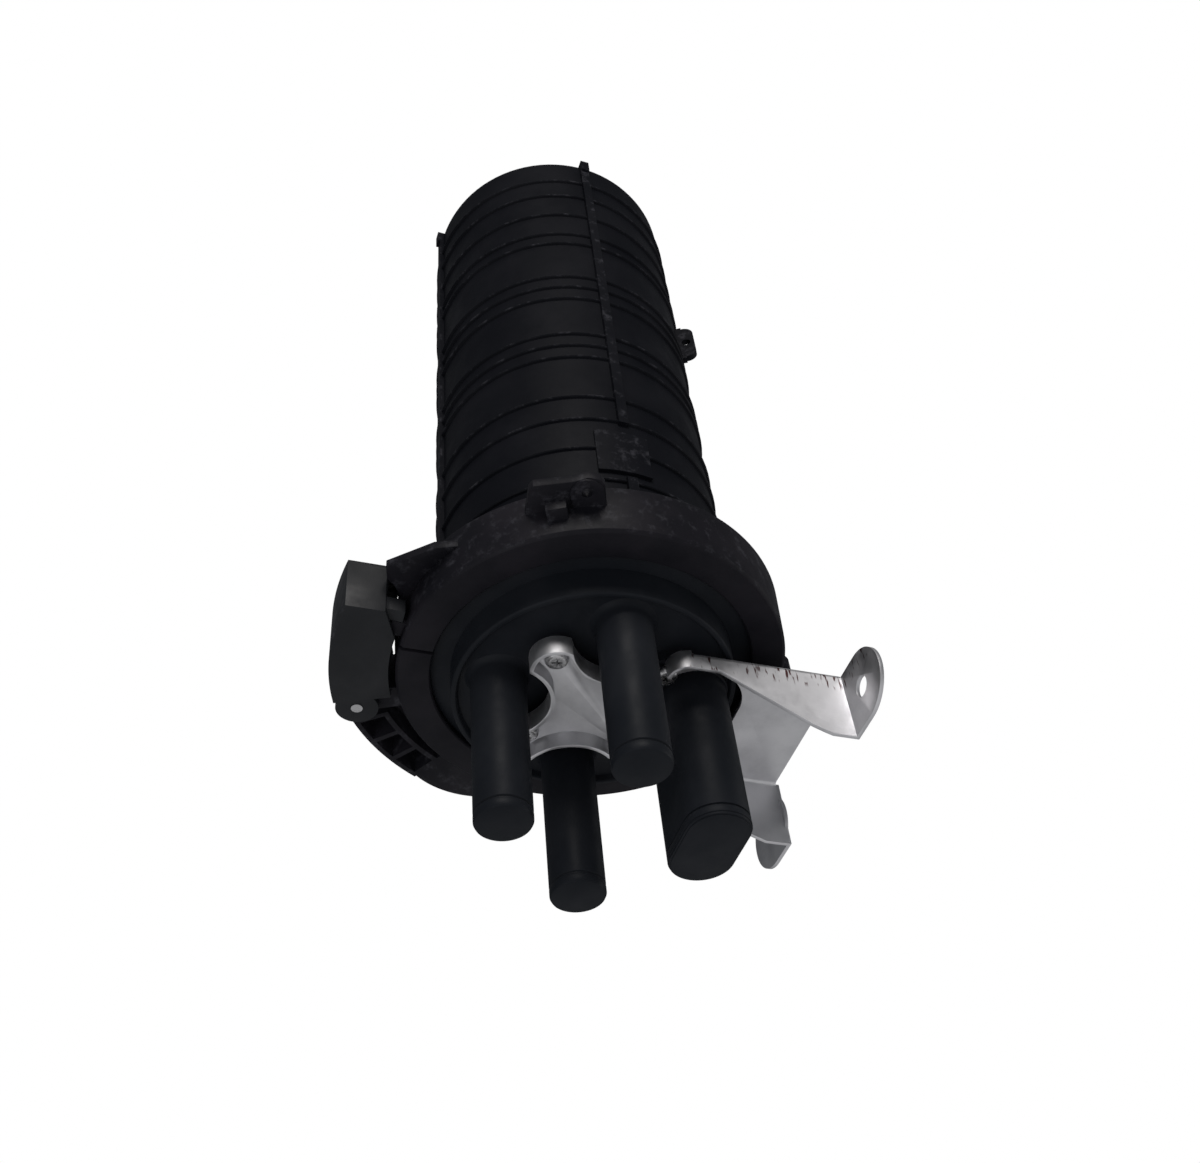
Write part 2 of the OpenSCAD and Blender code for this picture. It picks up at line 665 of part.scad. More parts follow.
module basket_screws() color([0.68, 0.68, 0.69]) placed()
    for (z = basket_screw_zs, i = [-1, 1]) translate([i * 30, 0, z]) {
        translate([0, -17, 0]) rotate([-90, 0, 0]) pan_screw(1.6, 3.2, 2, 9);
        translate([0, -12, 0]) rotate([90, 0, 0]) ring(1.7, 4, 0, 3);
    }

module tray_hinge_block() color([0.12, 0.12, 0.13]) placed() difference() {
    union() {
        translate([-33, frame_y + 1, 82]) cube([66, 2.2, 26]);
        for (i = [-1, 1]) translate([i * 31.5 - 1.5, frame_y + 1, 82]) cube([3, 44, 18]);
    }
    for (k = [0 : tray_n - 1]) translate([-40, tray_y + k * tray_pitch, 92]) rotate([0, 90, 0])
        cylinder(r = tray_pin_d / 2 + 0.02, h = 80, $fn = 32);
    for (i = [-1, 1]) translate([i * 30, -5, 95]) rotate([90, 0, 0]) cylinder(r = 3.4, h = 2.4);
    for (i = [-1, 1]) translate([i * 30, -7, 95]) rotate([90, 0, 0]) cylinder(r = 1.7, h = 6, $fn = 32);
}

module tray_hinge_pins() color([0.68, 0.68, 0.69]) placed()
    for (k = [0 : tray_n - 1]) translate([-34, tray_y + k * tray_pitch, 92]) rotate([0, 90, 0])
        cylinder(r = tray_pin_d / 2, h = 68, $fn = 32);

// Splice tray number k: a pan with a rim, two fibre drums, edge tabs and a hinge lug.
module splice_tray(k) {
    translate([0, tray_y + k * tray_pitch - tray_t / 2, tray_z]) difference() {
        union() {
            translate([0, tray_t, 0]) rotate([90, 0, 0]) translate([0, tray_l / 2, 0]) difference() {
                slab(tray_w, tray_l, tray_t, 12);
                translate([0, 0, -1]) slab(tray_w - 3.6, tray_l - 3.6, tray_t - 0.8, 10.5);
            }
            for (z = [55, tray_l - 55]) translate([0, tray_t - 0.8, z]) rotate([90, 0, 0])
                ring(17, 19, 0, tray_t - 1.5);
            for (z = [70 : 60 : tray_l - 60], i = [-1, 1])
                translate([i * (tray_w / 2 - 6) - 5, tray_t - 1.6, z]) cube([10, 1.2, 9]);
            translate([-29.4, 1, -24]) cube([58.8, tray_t - 2, 26]);
        }
        translate([-40, tray_t / 2, -20]) rotate([0, 90, 0])
            cylinder(r = tray_pin_d / 2 + run_clear, h = 80, $fn = 32);
        for (i = [-1, 1]) translate([i * 42 - 5, 2, -4]) cube([10, 10, 10]);
    }
}

module splice_tray_1() color([0.8, 0.82, 0.8]) placed() splice_tray(0);
module splice_tray_2() color([0.8, 0.82, 0.8]) placed() splice_tray(1);
module splice_tray_3() color([0.8, 0.82, 0.8]) placed() splice_tray(2);
module splice_tray_4() color([0.8, 0.82, 0.8]) placed() splice_tray(3);

// Holder for splice sleeves in tray number k: a strip with a row of slots.
module splice_comb(k) {
    translate([0, tray_y + k * tray_pitch - tray_t / 2 + 1.82, tray_z + tray_l / 2]) difference() {
        translate([-24, 0, -20]) cube([48, 4.4, 40]);
        for (i = [0 : comb_n - 1]) translate([-21.5 + i * 3.6, 1, -21]) cube([2.4, 5, 42]);
        for (z = [-8, 8]) translate([-25, 1, z - 4]) cube([50, 5, 8]);
    }
}

module splice_comb_1() color([0.2, 0.35, 0.6]) placed() splice_comb(0);
module splice_comb_2() color([0.2, 0.35, 0.6]) placed() splice_comb(1);
module splice_comb_3() color([0.2, 0.35, 0.6]) placed() splice_comb(2);
module splice_comb_4() color([0.2, 0.35, 0.6]) placed() splice_comb(3);

module tray_cover() color([0.85, 0.88, 0.9, 0.4]) placed()
    translate([0, tray_y + (tray_n - 0.5) * tray_pitch - 1 + 1.6, tray_z + tray_l / 2])
        rotate([90, 0, 0]) slab(tray_w, tray_l, 1.5, 12);

module tray_strap() color([0.1, 0.1, 0.1]) placed() translate([0, 0, 235]) difference() {
    translate([0, 12.3, 0]) slab(tray_w + 4, 51, 20, 6);
    translate([0, 12.3, -1]) slab(tray_w + 1.4, 48.6, 22, 4.8);
}

module clamp_post() {
    difference() {
        union() {
            translate([-6, -3, 0]) cube([12, 6, 34]);
            translate([-6, -3, 0]) cube([12, 12, 2.4]);
        }
        translate([-1.6, -4, 20]) cube([3.2, 8, 20]);
        translate([-10, 0, 27]) rotate([0, 90, 0]) cylinder(r = 1.7, h = 20, $fn = 32);
    }
}

module strength_clamps() color([0.7, 0.71, 0.72]) placed()
    for (a = [45 : 90 : 315]) rotate([0, 0, a]) translate([clamp_r, 0, -plate_z]) rotate([0, 0, 90])
        clamp_post();

module clamp_screws() color([0.68, 0.68, 0.69]) placed()
    for (a = [45 : 90 : 315]) rotate([0, 0, a]) translate([clamp_r, 0, -plate_z]) rotate([0, 0, 90])
        translate([-6, 0, 27]) rotate([0, 90, 0]) pan_screw(1.65, 3.2, 2, 13);

dome();
base();
seal_ring();
hoop_upper();
hoop_catch();
hoop_lower();
hoop_hinge_pin();
latch_lever();
latch_pin();
wall_bracket();
bracket_screws();
tray_frame();
frame_screws();
storage_basket();
basket_screws();
tray_hinge_block();
tray_hinge_pins();
splice_tray_1();
splice_tray_2();
splice_tray_3();
splice_tray_4();
splice_comb_1();
splice_comb_2();
splice_comb_3();
splice_comb_4();
tray_cover();
tray_strap();
strength_clamps();
clamp_screws();
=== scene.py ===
"""Dome splice closure on its wall bracket: finishes, detailed pieces, stage and camera."""

from __future__ import annotations

import logging
import math
from dataclasses import dataclass
from enum import Enum
from typing import Callable, Iterable

import bpy
from mathutils import Matrix, Vector

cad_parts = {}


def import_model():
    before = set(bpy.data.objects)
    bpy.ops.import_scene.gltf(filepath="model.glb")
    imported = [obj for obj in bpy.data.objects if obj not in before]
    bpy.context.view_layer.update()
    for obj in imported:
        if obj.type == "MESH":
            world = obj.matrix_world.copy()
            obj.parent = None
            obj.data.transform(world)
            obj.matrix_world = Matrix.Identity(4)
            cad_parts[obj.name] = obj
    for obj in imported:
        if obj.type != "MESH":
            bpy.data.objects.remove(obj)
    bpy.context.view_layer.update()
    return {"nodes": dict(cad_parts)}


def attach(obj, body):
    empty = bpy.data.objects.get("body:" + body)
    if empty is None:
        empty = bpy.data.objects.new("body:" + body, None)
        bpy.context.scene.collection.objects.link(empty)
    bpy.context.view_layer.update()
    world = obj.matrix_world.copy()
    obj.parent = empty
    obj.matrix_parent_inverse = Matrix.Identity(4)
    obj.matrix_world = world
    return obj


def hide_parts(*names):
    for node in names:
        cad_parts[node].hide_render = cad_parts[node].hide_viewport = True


LOG = logging.getLogger("dome_closure")
MM = 0.001

Colour = tuple[float, float, float]
Point = tuple[float, float, float]

AXIS_Y = -118 * MM  # the dome's axis in the wall frame
HOOP_Z = 38 * MM  # the hoop's lower face in the wall frame


class Body(Enum):
    """Moving body that a piece rides on."""

    CLOSURE = "closure"
    HOOP_HALF = "hoop_half"
    LEVER = "lever"


class Direction(Enum):
    """Way that a rolled or moulded grain runs."""

    ALONG_Y = (1.0, 0.04, 1.0)
    ALONG_Z = (1.0, 1.0, 0.04)


# ----------------------------------------------------------------- node graph


class Graph:
    """Small builder for a material's node tree, with positions on the piece as its base."""

    def __init__(self, name: str) -> None:
        """Start a material with one principled shader.

        Args:
            name: name of the material.
        """
        self.mat = bpy.data.materials.new(name)
        self.mat.use_nodes = True
        self.tree = self.mat.node_tree
        self.tree.nodes.clear()
        out = self.tree.nodes.new("ShaderNodeOutputMaterial")
        self.shader = self.tree.nodes.new("ShaderNodeBsdfPrincipled")
        self.tree.links.new(self.shader.outputs[0], out.inputs[0])
        self.place = self.tree.nodes.new("ShaderNodeTexCoord").outputs["Object"]

    def link(self, a: bpy.types.NodeSocket, b: bpy.types.NodeSocket) -> None:
        """Join an output to an input."""
        self.tree.links.new(a, b)

    def mapped(self, scale: Point, offset: Point = (0, 0, 0)) -> bpy.types.NodeSocket:
        """Stretch or shift the place on the piece.

        Args:
            scale: factor along X, Y and Z.
            offset: shift added after the scale.

        Returns:
            The mapped vector.
        """
        node = self.tree.nodes.new("ShaderNodeMapping")
        node.inputs["Scale"].default_value = scale
        node.inputs["Location"].default_value = offset
        self.link(self.place, node.inputs["Vector"])
        return node.outputs[0]

    def noise(
        self,
        scale: float,
        detail: float = 2.0,
        rough: float = 0.5,
        vector: bpy.types.NodeSocket | None = None,
    ) -> bpy.types.NodeSocket:
        """Make a noise value.

        Args:
            scale: spots per metre, roughly.
            detail: octaves added.
            rough: weight of the finer octaves.
            vector: where to read it, the place on the piece if left out.

        Returns:
            The noise's value.
        """
        node = self.tree.nodes.new("ShaderNodeTexNoise")
        node.inputs["Scale"].default_value = scale
        node.inputs["Detail"].default_value = detail
        node.inputs["Roughness"].default_value = rough
        self.link(vector or self.place, node.inputs["Vector"])
        return node.outputs["Fac"]

    def span(
        self,
        value: bpy.types.NodeSocket,
        low: float,
        high: float,
        to_low: float = 0.0,
        to_high: float = 1.0,
    ) -> bpy.types.NodeSocket:
        """Map a value's span onto another, smoothly and clamped.

        Args:
            value: the value.
            low: start of its span.
            high: end of its span.
            to_low: result at the start.
            to_high: result at the end.

        Returns:
            The mapped value.
        """
        node = self.tree.nodes.new("ShaderNodeMapRange")
        node.interpolation_type = "SMOOTHSTEP"
        for key, number in (
            ("From Min", low),
            ("From Max", high),
            ("To Min", to_low),
            ("To Max", to_high),
        ):
            node.inputs[key].default_value = number
        self.link(value, node.inputs["Value"])
        return node.outputs[0]

    def math(
        self,
        kind: str,
        a: bpy.types.NodeSocket,
        b: bpy.types.NodeSocket | float = 0.0,
    ) -> bpy.types.NodeSocket:
        """Combine two values.

        Args:
            kind: name of the operation.
            a: first value.
            b: second value, a socket or a number.

        Returns:
            The result.
        """
        node = self.tree.nodes.new("ShaderNodeMath")
        node.operation = kind
        self.link(a, node.inputs[0])
        if isinstance(b, bpy.types.NodeSocket):
            self.link(b, node.inputs[1])
        else:
            node.inputs[1].default_value = b
        return node.outputs[0]

    def mix(
        self,
        factor: bpy.types.NodeSocket,
        a: Colour | bpy.types.NodeSocket,
        b: Colour | bpy.types.NodeSocket,
    ) -> bpy.types.NodeSocket:
        """Mix two colours by a factor that varies over the surface.

        Args:
            factor: 0 gives a, 1 gives b.
            a: first colour.
            b: second colour.

        Returns:
            The mixed colour.
        """
        node = self.tree.nodes.new("ShaderNodeMix")
        node.data_type = "RGBA"
        self.link(factor, node.inputs["Factor"])
        for index, colour in ((6, a), (7, b)):
            if isinstance(colour, bpy.types.NodeSocket):
                self.link(colour, node.inputs[index])
            else:
                node.inputs[index].default_value = (*colour, 1.0)
        return node.outputs[2]

    def axis_distance(self) -> bpy.types.NodeSocket:
        """Distance from the dome's axis, in metres."""
        flat = self.mapped((1, 1, 0), (0, -AXIS_Y, 0))
        node = self.tree.nodes.new("ShaderNodeVectorMath")
        node.operation = "LENGTH"
        self.link(flat, node.inputs[0])
        return node.outputs["Value"]

    def part(self, axis: str) -> bpy.types.NodeSocket:
        """One coordinate of the place on the piece, X, Y or Z."""
        node = self.tree.nodes.new("ShaderNodeSeparateXYZ")
        self.link(self.place, node.inputs[0])
        return node.outputs[axis]

    def bump(self, *layers: tuple[bpy.types.NodeSocket, float, float]) -> None:
        """Stack bump layers onto the shader's normal.

        Args:
            layers: height value, strength and depth in metres of each layer.
        """
        last = None
        for height, strength, depth in layers:
            node = self.tree.nodes.new("ShaderNodeBump")
            node.inputs["Strength"].default_value = strength
            node.inputs["Distance"].default_value = depth
            self.link(height, node.inputs["Height"])
            if last is not None:
                self.link(last, node.inputs["Normal"])
            last = node.outputs[0]
        if last is not None:
            self.link(last, self.shader.inputs["Normal"])


# ------------------------------------------------------------------ finishes


@dataclass(frozen=True)
class MouldedPlastic:
    """Black moulded plastic: matt grain, faint mottling, and crests lightened by wear and by a
    painted highlight.

    crest is the distance from the dome's axis past which the colour turns lighter in patches.
    This is partly handling wear and partly a painted highlight for the crest line lit from above.
    """

    name: str
    colour: Colour = (0.0040, 0.0044, 0.0064)
    pale: Colour = (0.0068, 0.0071, 0.0095)
    rubbed_highlight_colour: Colour = (0.036, 0.036, 0.043)
    crest: float | None = None
    rub_highlight_weight: float = 0.8
    gloss: float = 0.40
    matt: float = 0.54
    sheen: float = 0.22
    grain: float = 0.25

    def material(self) -> bpy.types.Material:
        """Build the finish's material."""
        g = Graph(self.name)
        g.shader.inputs["Specular IOR Level"].default_value = self.sheen
        mottle = g.span(g.noise(22, 4, 0.6), 0.35, 0.68)
        colour = g.mix(mottle, self.colour, self.pale)
        scuff = g.span(g.noise(140, 5, 0.7), 0.50, 0.72)
        # painted highlight: past the crest distance the colour is lightened in patches, partly
        # handling wear, partly the lit crest line
        if self.crest is not None:
            edge = g.span(g.axis_distance(), self.crest - 0.0006, self.crest + 0.0003)
            rub_and_highlight_mask = g.math("MULTIPLY", g.math("MULTIPLY", edge, scuff), self.rub_highlight_weight)
            colour = g.mix(rub_and_highlight_mask, colour, self.rubbed_highlight_colour)
        g.link(colour, g.shader.inputs["Base Color"])
        g.link(
            g.span(g.noise(75, 4, 0.6), 0.3, 0.7, self.gloss, self.matt),
            g.shader.inputs["Roughness"],
        )
        g.bump(
            (g.noise(45, 2), 0.25, 0.0006),
            (g.noise(1500, 3, 0.6), self.grain, 0.0002),
        )
        return g.mat


@dataclass(frozen=True)
class RolledSheet:
    """Satin rolled steel with a faint grain, smears and fine scratches."""

    name: str
    colour: Colour = (0.68, 0.68, 0.70)
    dull: Colour = (0.56, 0.56, 0.58)
    stain: Colour = (0.075, 0.030, 0.030)
    grain: Direction = Direction.ALONG_Y
    stained: bool = False

    def material(self) -> bpy.types.Material:
        """Build the finish's material."""
        g = Graph(self.name)
        g.shader.inputs["Metallic"].default_value = 1.0
        smear = g.span(g.noise(30, 5, 0.65), 0.38, 0.7)
        colour = g.mix(smear, self.colour, self.dull)
        lines = g.noise(900, 2, 0.5, g.mapped(self.grain.value))
        if self.stained:
            colour = g.mix(self.drips(g), colour, self.stain)
        g.link(colour, g.shader.inputs["Base Color"])
        g.link(
            g.span(g.noise(55, 4, 0.6), 0.3, 0.7, 0.40, 0.56),
            g.shader.inputs["Roughness"],
        )
        g.bump((lines, 0.12, 0.00012), (g.noise(160, 3), 0.06, 0.0003))
        return g.mat

    def drips(self, g: Graph) -> bpy.types.NodeSocket:
        """Short brown runs that start under the fold of the +X flange.

        Args:
            g: the material's graph.

        Returns:
            A value that is 1 inside a run.
        """
        height = g.part("Z")
        run = g.span(g.noise(420, 2, 0.6, g.mapped((1, 1, 0.18))), 0.56, 0.64)
        band = g.span(height, 0.0085, 0.0125)
        outer = g.span(g.part("X"), 0.0446, 0.0449)
        return g.math("MULTIPLY", g.math("MULTIPLY", run, band), outer)


@dataclass(frozen=True)
class PlatedSteel:
    """Bright plated steel of pins and screws."""

    name: str
    colour: Colour = (0.50, 0.50, 0.51)
    dark: Colour = (0.20, 0.195, 0.19)

    def material(self) -> bpy.types.Material:
        """Build the finish's material."""
        g = Graph(self.name)
        g.shader.inputs["Metallic"].default_value = 1.0
        tarnish = g.span(g.noise(260, 4, 0.6), 0.48, 0.72)
        g.link(g.mix(tarnish, self.colour, self.dark), g.shader.inputs["Base Color"])
        g.link(
            g.span(g.noise(500, 3), 0.3, 0.7, 0.22, 0.42), g.shader.inputs["Roughness"]
        )
        g.bump((g.noise(1800, 2), 0.1, 0.0001))
        return g.mat


@dataclass(frozen=True)
class PalePlastic:
    """Pale or coloured moulded plastic of the pieces inside, with a soft sheen."""

    name: str
    colour: Colour
    shade: Colour
    roughness: float = 0.38
    see_through: float = 0.0

    def material(self) -> bpy.types.Material:
        """Build the finish's material."""
        g = Graph(self.name)
        g.link(
            g.mix(g.span(g.noise(35, 3), 0.35, 0.7), self.colour, self.shade),
            g.shader.inputs["Base Color"],
        )
        g.link(
            g.span(g.noise(90, 3), 0.3, 0.7, self.roughness, self.roughness + 0.14),
            g.shader.inputs["Roughness"],
        )
        if self.see_through:
            g.shader.inputs["Transmission Weight"].default_value = self.see_through
            g.shader.inputs["IOR"].default_value = 1.49
        g.bump((g.noise(1100, 2), 0.12, 0.00015))
        return g.mat


@dataclass(frozen=True)
class Webbing:
    """Woven strap."""

    name: str
    colour: Colour = (0.012, 0.012, 0.013)
    thread: Colour = (0.05, 0.05, 0.052)

    def material(self) -> bpy.types.Material:
        """Build the finish's material."""
        g = Graph(self.name)
        wave = g.tree.nodes.new("ShaderNodeTexWave")
        wave.bands_direction = "Z"
        wave.inputs["Scale"].default_value = 260
        wave.inputs["Distortion"].default_value = 1.5
        g.link(g.place, wave.inputs["Vector"])
        g.link(
            g.mix(wave.outputs["Fac"], self.colour, self.thread),
            g.shader.inputs["Base Color"],
        )
        g.link(g.span(g.noise(300, 3), 0.3, 0.7, 0.75, 0.92), g.shader.inputs["Roughness"])
        g.bump((wave.outputs["Fac"], 0.5, 0.0003))
        return g.mat


@dataclass(frozen=True)
class StageFinish:
    """Pale matt ground for the stage."""

    name: str
    colour: Colour = (0.86, 0.86, 0.87)
    shade: Colour = (0.82, 0.82, 0.83)
    glow: float = 0.28

    def material(self) -> bpy.types.Material:
        """Build the finish's material."""
        g = Graph(self.name)
        g.link(
            g.mix(g.span(g.noise(3, 3), 0.3, 0.7), self.colour, self.shade),
            g.shader.inputs["Base Color"],
        )
        g.shader.inputs["Roughness"].default_value = 0.9
        g.shader.inputs["Emission Color"].default_value = (1.0, 1.0, 1.0, 1.0)
        g.shader.inputs["Emission Strength"].default_value = self.glow
        return g.mat


# ------------------------------------------------------------- modelling by hand


class Bench:
    """Helpers that work on one object at a time, as by hand."""

    @staticmethod
    def clear() -> None:
        """Leave edit mode and deselect everything."""
        if bpy.context.object and bpy.context.object.mode != "OBJECT":
            bpy.ops.object.mode_set(mode="OBJECT")
        bpy.ops.object.select_all(action="DESELECT")

    @staticmethod
    def pick(*pieces: bpy.types.Object) -> None:
        """Select only these objects; the last one is active."""
        Bench.clear()
        for piece in pieces:
            piece.select_set(True)
        bpy.context.view_layer.objects.active = pieces[-1]

    @staticmethod
    def faces(piece: bpy.types.Object, test: Callable[[Vector, Vector], bool]) -> None:
        """Select the faces whose centre and normal pass a test, in face mode.

        Args:
            piece: the object in edit mode.
            test: takes a face's centre and normal, returns True to select it.
        """
        bpy.ops.mesh.select_mode(type="FACE")
        bpy.ops.mesh.select_all(action="DESELECT")
        bpy.ops.object.mode_set(mode="OBJECT")
        for face in piece.data.polygons:
            face.select = bool(test(face.center, face.normal))
        bpy.ops.object.mode_set(mode="EDIT")

    @staticmethod
    def settle(piece: bpy.types.Object) -> None:
        """Move an object's place and size into its mesh."""
        Bench.pick(piece)
        bpy.ops.object.transform_apply(location=True, rotation=True, scale=True)

    @staticmethod
    def dress(piece: bpy.types.Object, material: bpy.types.Material) -> None:
        """Give a piece one material."""
        piece.data.materials.clear()
        piece.data.materials.append(material)

    @staticmethod
    def smooth(piece: bpy.types.Object, angle: float = 30.0) -> None:
        """Shade a piece smooth where faces meet at less than an angle in degrees."""
        Bench.pick(piece)
        bpy.ops.object.shade_smooth_by_angle(angle=math.radians(angle))


def hand_in(
    piece: bpy.types.Object, body: Body, nodes: Iterable[str] = ()
) -> None:
    """Put a finished piece on its body and the nodes it stands for.

    Args:
        piece: the finished object, placed in the wall frame.
        body: the body it rides on.
        nodes: the frame's nodes that it stands for.
    """
    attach(piece, body.value)
    for node in nodes:
        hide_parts(node)
    LOG.info("%s: %d faces, on %s", piece.name, len(piece.data.polygons), body.value)


# ------------------------------------------------------------- sub-assemblies


@dataclass
class BracketScrews:
    """Four pan-head screws with a cross recess that hold the bracket."""

    steel: bpy.types.Material
    offset: float = 28 * MM
    seat_z: float = HOOP_Z - 18 * MM
    head_r: float = 6 * MM
    head_h: float = 3.4 * MM
    slot_w: float = 1.3 * MM
    slot_l: float = 7.0 * MM
    slot_d: float = 2.4 * MM
    turns: tuple[float, ...] = (18.0, 61.0, -12.0, 40.0)

    def head(self) -> bpy.types.Object:
        """Model one screw head, its crown towards -Z and its seat at the origin.

        Returns:
            The head's object.
        """
        Bench.clear()
        bpy.ops.mesh.primitive_cylinder_add(
            vertices=48, radius=self.head_r, depth=self.head_h,
            location=(0, 0, -self.head_h / 2),
        )
        head = bpy.context.object
        bpy.ops.object.transform_apply(location=True, rotation=True, scale=True)
        bpy.ops.object.mode_set(mode="EDIT")
        Bench.faces(head, lambda c, n: n.z < -0.9)
        bpy.ops.mesh.bevel(offset=self.head_h * 0.72, segments=7, profile=0.5, affect="EDGES")
        bpy.ops.object.mode_set(mode="OBJECT")
        cutter = self.cross()
        cut = head.modifiers.new("recess", "BOOLEAN")
        cut.operation = "DIFFERENCE"
        cut.solver = "EXACT"
        cut.object = cutter
        Bench.pick(head)
        bpy.ops.object.modifier_apply(modifier="recess")
        bpy.data.objects.remove(cutter)
        Bench.smooth(head, 35)
        return head

    def cross(self) -> bpy.types.Object:
        """Model the tapered cross that cuts the recess.

        Returns:
            The cutter's object.
        """
        bars = []
        for turn in (0.0, math.pi / 2):
            Bench.clear()
            bpy.ops.mesh.primitive_cube_add(
                size=1, location=(0, 0, -self.head_h), rotation=(0, 0, turn)
            )
            bar = bpy.context.object
            bar.scale = (self.slot_l, self.slot_w, self.slot_d * 2)
            bpy.ops.object.transform_apply(location=True, rotation=True, scale=True)
            bpy.ops.object.mode_set(mode="EDIT")
            Bench.faces(bar, lambda c, n: n.z > 0.9)
            bpy.ops.transform.resize(value=(0.45, 0.45, 1.0))
            bpy.ops.object.mode_set(mode="OBJECT")
            bars.append(bar)
        cut = bars[0].modifiers.new("cross", "BOOLEAN")
        cut.operation = "UNION"
        cut.solver = "EXACT"
        cut.object = bars[1]
        Bench.pick(bars[0])
        bpy.ops.object.modifier_apply(modifier="cross")
        bpy.data.objects.remove(bars[1])
        return bars[0]

    def build(self) -> list[bpy.types.Object]:
        """Model one screw, copy it to the four places and hand them in.

        Returns:
            The four screws.
        """
        first = self.head()
        screws = []
        spots = [(i, j) for i in (-1, 1) for j in (-1, 1)]
        for number, ((i, j), turn) in enumerate(zip(spots, self.turns), 1):
            screw = bpy.data.objects.new(f"bracket_screw_{number}", first.data.copy())
            bpy.context.scene.collection.objects.link(screw)
            screw.rotation_euler.z = math.radians(turn)
            screw.location = (i * self.offset, AXIS_Y + j * self.offset, self.seat_z)
            Bench.settle(screw)
            Bench.dress(screw, self.steel)
            hand_in(screw, Body.CLOSURE, ["bracket_screws"])
            screws.append(screw)
        bpy.data.objects.remove(first)
        return screws


@dataclass
class Interior:
    """Pieces inside the dome, which keep their solids and get their finishes."""

    nodes: dict[str, bpy.types.Object]

    def build(self) -> None:
        """Dress every inner node."""
        white = PalePlastic("tray_white", (0.70, 0.71, 0.68), (0.60, 0.61, 0.58)).material()
        basket = PalePlastic("basket_white", (0.62, 0.63, 0.61), (0.54, 0.55, 0.53)).material()
        blue = PalePlastic("comb_blue", (0.05, 0.13, 0.32), (0.04, 0.10, 0.26), 0.45).material()
        cover = PalePlastic(
            "cover_clear", (0.85, 0.88, 0.9), (0.8, 0.84, 0.86), roughness=0.1, see_through=0.85
        ).material()
        alloy = RolledSheet("frame_alloy", grain=Direction.ALONG_Z).material()
        steel = PlatedSteel("inner_steel").material()
        black = MouldedPlastic("block_black").material()
        rubber = MouldedPlastic(
            "seal_black", (0.02, 0.02, 0.021), (0.028, 0.028, 0.03), gloss=0.7, matt=0.85
        ).material()
        strap = Webbing("strap_black").material()
        for name, node in self.nodes.items():
            if name.startswith("splice_tray"):
                Bench.dress(node, white)
            elif name.startswith("splice_comb"):
                Bench.dress(node, blue)
        for names, material in (
            (("storage_basket",), basket),
            (("tray_cover",), cover),
            (("tray_frame", "strength_clamps"), alloy),
            (("frame_screws", "basket_screws", "clamp_screws", "tray_hinge_pins"), steel),
            (("tray_hinge_block",), black),
            (("seal_ring",), rubber),
            (("tray_strap",), strap),
        ):
            for name in names:
                Bench.dress(self.nodes[name], material)


@dataclass
class Shell:
    """Dome, base, hoop, lever and bracket: the outside of the closure."""

    nodes: dict[str, bpy.types.Object]
    ease: float = 0.35 * MM  # width of an eased corner
    weld: float = 0.01 * MM  # points closer than this are one
    flat: float = 0.8  # faces within this angle, in degrees, are one face
    corner: float = 38.0  # corners sharper than this are eased

    def build(self) -> None:
        """Dress the outer nodes."""
        # the crest settings paint a highlight, partly wear, on the dome's rib and fin crests, the
        # hoop's outer band and the lever's outer edge
        dome = MouldedPlastic("dome_black", crest=0.0798, rub_highlight_weight=0.9, sheen=0.05).material()
        base = MouldedPlastic(
            "base_black", (0.0085, 0.010, 0.0130), (0.013, 0.0145, 0.0180), sheen=0.07
        ).material()
        hoop = MouldedPlastic(
            "hoop_black",
            (0.0075, 0.0075, 0.0100),
            (0.013, 0.012, 0.0155),
            crest=0.0993,
            sheen=0.07,
        ).material()
        lever = MouldedPlastic(
            "lever_black", (0.008, 0.009, 0.011), (0.013, 0.014, 0.0165), crest=0.1325, sheen=0.19
        ).material()
        sheet = RolledSheet("bracket_steel", stained=True).material()
        steel = PlatedSteel("pin_steel").material()
        for name, material in (
            ("dome", dome),
            ("base", base),
            ("hoop_upper", hoop),
            ("hoop_catch", hoop),
            ("hoop_lower", hoop),
            ("latch_lever", lever),
            ("wall_bracket", sheet),
            ("hoop_hinge_pin", steel),
            ("latch_pin", steel),
            ("bracket_screws", steel),
        ):
            Bench.dress(self.nodes[name], material)
        for name, body, slot in (
            ("hoop_upper", Body.CLOSURE, "hoop_plastic"),
            ("hoop_catch", Body.CLOSURE, "hoop_plastic"),
            ("hoop_lower", Body.HOOP_HALF, "hoop_plastic"),
            ("latch_lever", Body.LEVER, "lever_plastic"),
            ("base", Body.CLOSURE, "base_plastic"),
            ("wall_bracket", Body.CLOSURE, "bracket_steel"),
        ):
            hand_in(self.eased(self.nodes[name]), body, [name])

    def eased(self, node: bpy.types.Object) -> bpy.types.Object:
        """Copy a node and ease its corners, as the mould or the press leaves them.

        Args:
            node: the frame's node, already dressed.

        Returns:
            The copy with eased corners.
        """
        piece = bpy.data.objects.new(f"{node.name}_eased", node.data.copy())
        bpy.context.scene.collection.objects.link(piece)
        piece.matrix_world = node.matrix_world
        Bench.settle(piece)
        bpy.ops.object.mode_set(mode="EDIT")
        bpy.ops.mesh.select_all(action="SELECT")
        bpy.ops.mesh.remove_doubles(threshold=self.weld)
        bpy.ops.mesh.dissolve_limited(angle_limit=math.radians(self.flat))
        bpy.ops.object.mode_set(mode="OBJECT")
        bpy.ops.mesh.customdata_custom_splitnormals_clear()
        ease = piece.modifiers.new("ease", "BEVEL")
        ease.width = self.ease
        ease.segments = 2
        ease.limit_method = "ANGLE"
        ease.angle_limit = math.radians(self.corner)
        bpy.ops.object.modifier_apply(modifier="ease")
        Bench.smooth(piece, 32)
        return piece


# --------------------------------------------------------- stage, light, camera


@dataclass(frozen=True)
class Lamp:
    """Soft square lamp aimed at the closure: its place, side, watts and tint."""

    name: str
    place: Point
    side: float
    power: float
    tint: Colour


